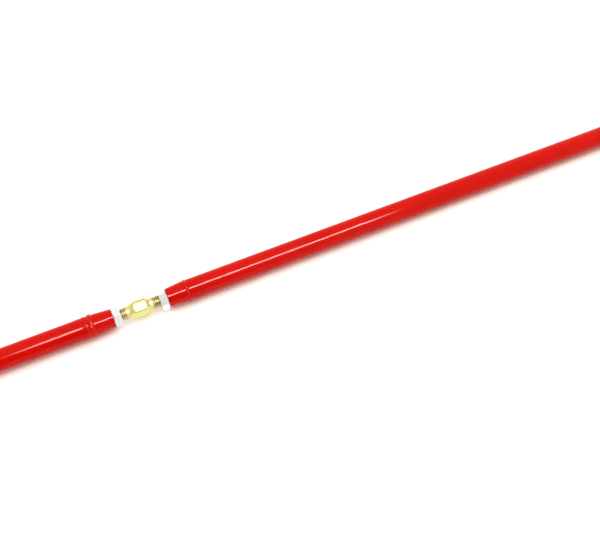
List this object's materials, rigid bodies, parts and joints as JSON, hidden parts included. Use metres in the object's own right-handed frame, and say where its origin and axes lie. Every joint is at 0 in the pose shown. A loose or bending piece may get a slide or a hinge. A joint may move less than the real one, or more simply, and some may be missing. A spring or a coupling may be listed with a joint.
{
  "type": "adjustable gear shift linkage rod",
  "caption": "Straight adjustable linkage rod: painted tapered tubes joined by a hexagon turnbuckle stud with lock nuts, and a spherical rod end at each end.",
  "frame": {"origin": "centre of the short end's ball, in the middle of its bolt bore", "axes": "+X along the rod from the short end to the long end, +Z along the bolt bores, up"},
  "size_m": [0.624, 0.024, 0.015],
  "materials": {
    "red_paint": "gloss red paint over welded steel tube",
    "yellow_zinc": "yellow passivated zinc plate, slightly iridescent",
    "bright_zinc": "bright blue-white zinc plate",
    "rod_end_zinc": "zinc plated forging",
    "race_brass": "satin sliding bronze",
    "ball_chrome": "ground and polished bearing steel"
  },
  "bodies": {
    "short_rod": {"short_tube": "red_paint", "short_inner_plug": "red_paint", "short_outer_plug": "red_paint", "short_inner_weld": "red_paint", "short_outer_weld": "red_paint"},
    "right_thread_nut": {"right_thread_lock_nut": "bright_zinc"},
    "adjuster": {"adjuster_stud": "yellow_zinc"},
    "long_rod": {"long_tube": "red_paint", "long_inner_plug": "red_paint", "long_outer_plug": "red_paint", "long_inner_weld": "red_paint", "long_outer_weld": "red_paint"},
    "left_thread_nut": {"left_thread_lock_nut": "bright_zinc"},
    "short_jam_nut": {"short_end_jam_nut": "bright_zinc"},
    "short_rod_end": {"short_end_housing": "rod_end_zinc"},
    "short_race": {"short_end_race": "race_brass"},
    "short_ball": {"short_end_ball": "ball_chrome"},
    "long_jam_nut": {"long_end_jam_nut": "bright_zinc"},
    "long_rod_end": {"long_end_housing": "rod_end_zinc"},
    "long_race": {"long_end_race": "race_brass"},
    "long_ball": {"long_end_ball": "ball_chrome"}
  },
  "joints": [
    {"name": "adjuster_turn", "type": "hinge", "parent": "short_rod", "child": "right_thread_nut", "pos_m": [0.1621, 0, 0], "axis": [1, 0, 0], "range_deg": [-1080, 2160]},
    {"name": "adjuster_advance", "type": "slide", "parent": "right_thread_nut", "child": "adjuster", "axis": [1, 0, 0], "range_m": [-0.00375, 0.0075]},
    {"name": "long_rod_advance", "type": "slide", "parent": "short_rod", "child": "long_rod", "axis": [1, 0, 0], "range_m": [-0.0075, 0.015]},
    {"name": "left_thread_nut_turn", "type": "hinge", "parent": "long_rod", "child": "left_thread_nut", "pos_m": [0.1979, 0, 0], "axis": [1, 0, 0], "range_deg": [-1080, 2160]},
    {"name": "short_end_turn", "type": "hinge", "parent": "short_rod", "child": "short_jam_nut", "pos_m": [0.026, 0, 0], "axis": [-1, 0, 0], "range_deg": [-720, 1440]},
    {"name": "short_end_advance", "type": "slide", "parent": "short_jam_nut", "child": "short_rod_end", "axis": [-1, 0, 0], "range_m": [-0.0025, 0.005]},
    {"name": "short_bolt_swivel", "type": "hinge", "parent": "short_rod_end", "child": "short_race", "pos_m": [0, 0, 0], "axis": [0, 0, 1], "continuous": true},
    {"name": "short_ball_tilt", "type": "hinge", "parent": "short_race", "child": "short_ball", "pos_m": [0, 0, 0], "axis": [0, 1, 0], "range_deg": [-13, 13]},
    {"name": "long_end_turn", "type": "hinge", "parent": "long_rod", "child": "long_jam_nut", "pos_m": [0.574, 0, 0], "axis": [1, 0, 0], "range_deg": [-720, 1440]},
    {"name": "long_end_advance", "type": "slide", "parent": "long_jam_nut", "child": "long_rod_end", "axis": [1, 0, 0], "range_m": [-0.0025, 0.005]},
    {"name": "long_bolt_swivel", "type": "hinge", "parent": "long_rod_end", "child": "long_race", "pos_m": [0.6, 0, 0], "axis": [0, 0, 1], "continuous": true},
    {"name": "long_ball_tilt", "type": "hinge", "parent": "long_race", "child": "long_ball", "pos_m": [0.6, 0, 0], "axis": [0, 1, 0], "range_deg": [-13, 13]}
  ],
  "couplings": [
    {"joint": "adjuster_turn", "follows": "long_rod_advance", "rad_per_m": 2513.3},
    {"joint": "adjuster_advance", "follows": "long_rod_advance", "ratio": 0.5},
    {"joint": "left_thread_nut_turn", "follows": "long_rod_advance", "rad_per_m": 2513.3},
    {"joint": "short_end_turn", "follows": "short_end_advance", "rad_per_m": 5026.5},
    {"joint": "long_end_turn", "follows": "long_end_advance", "rad_per_m": 5026.5}
  ]
}
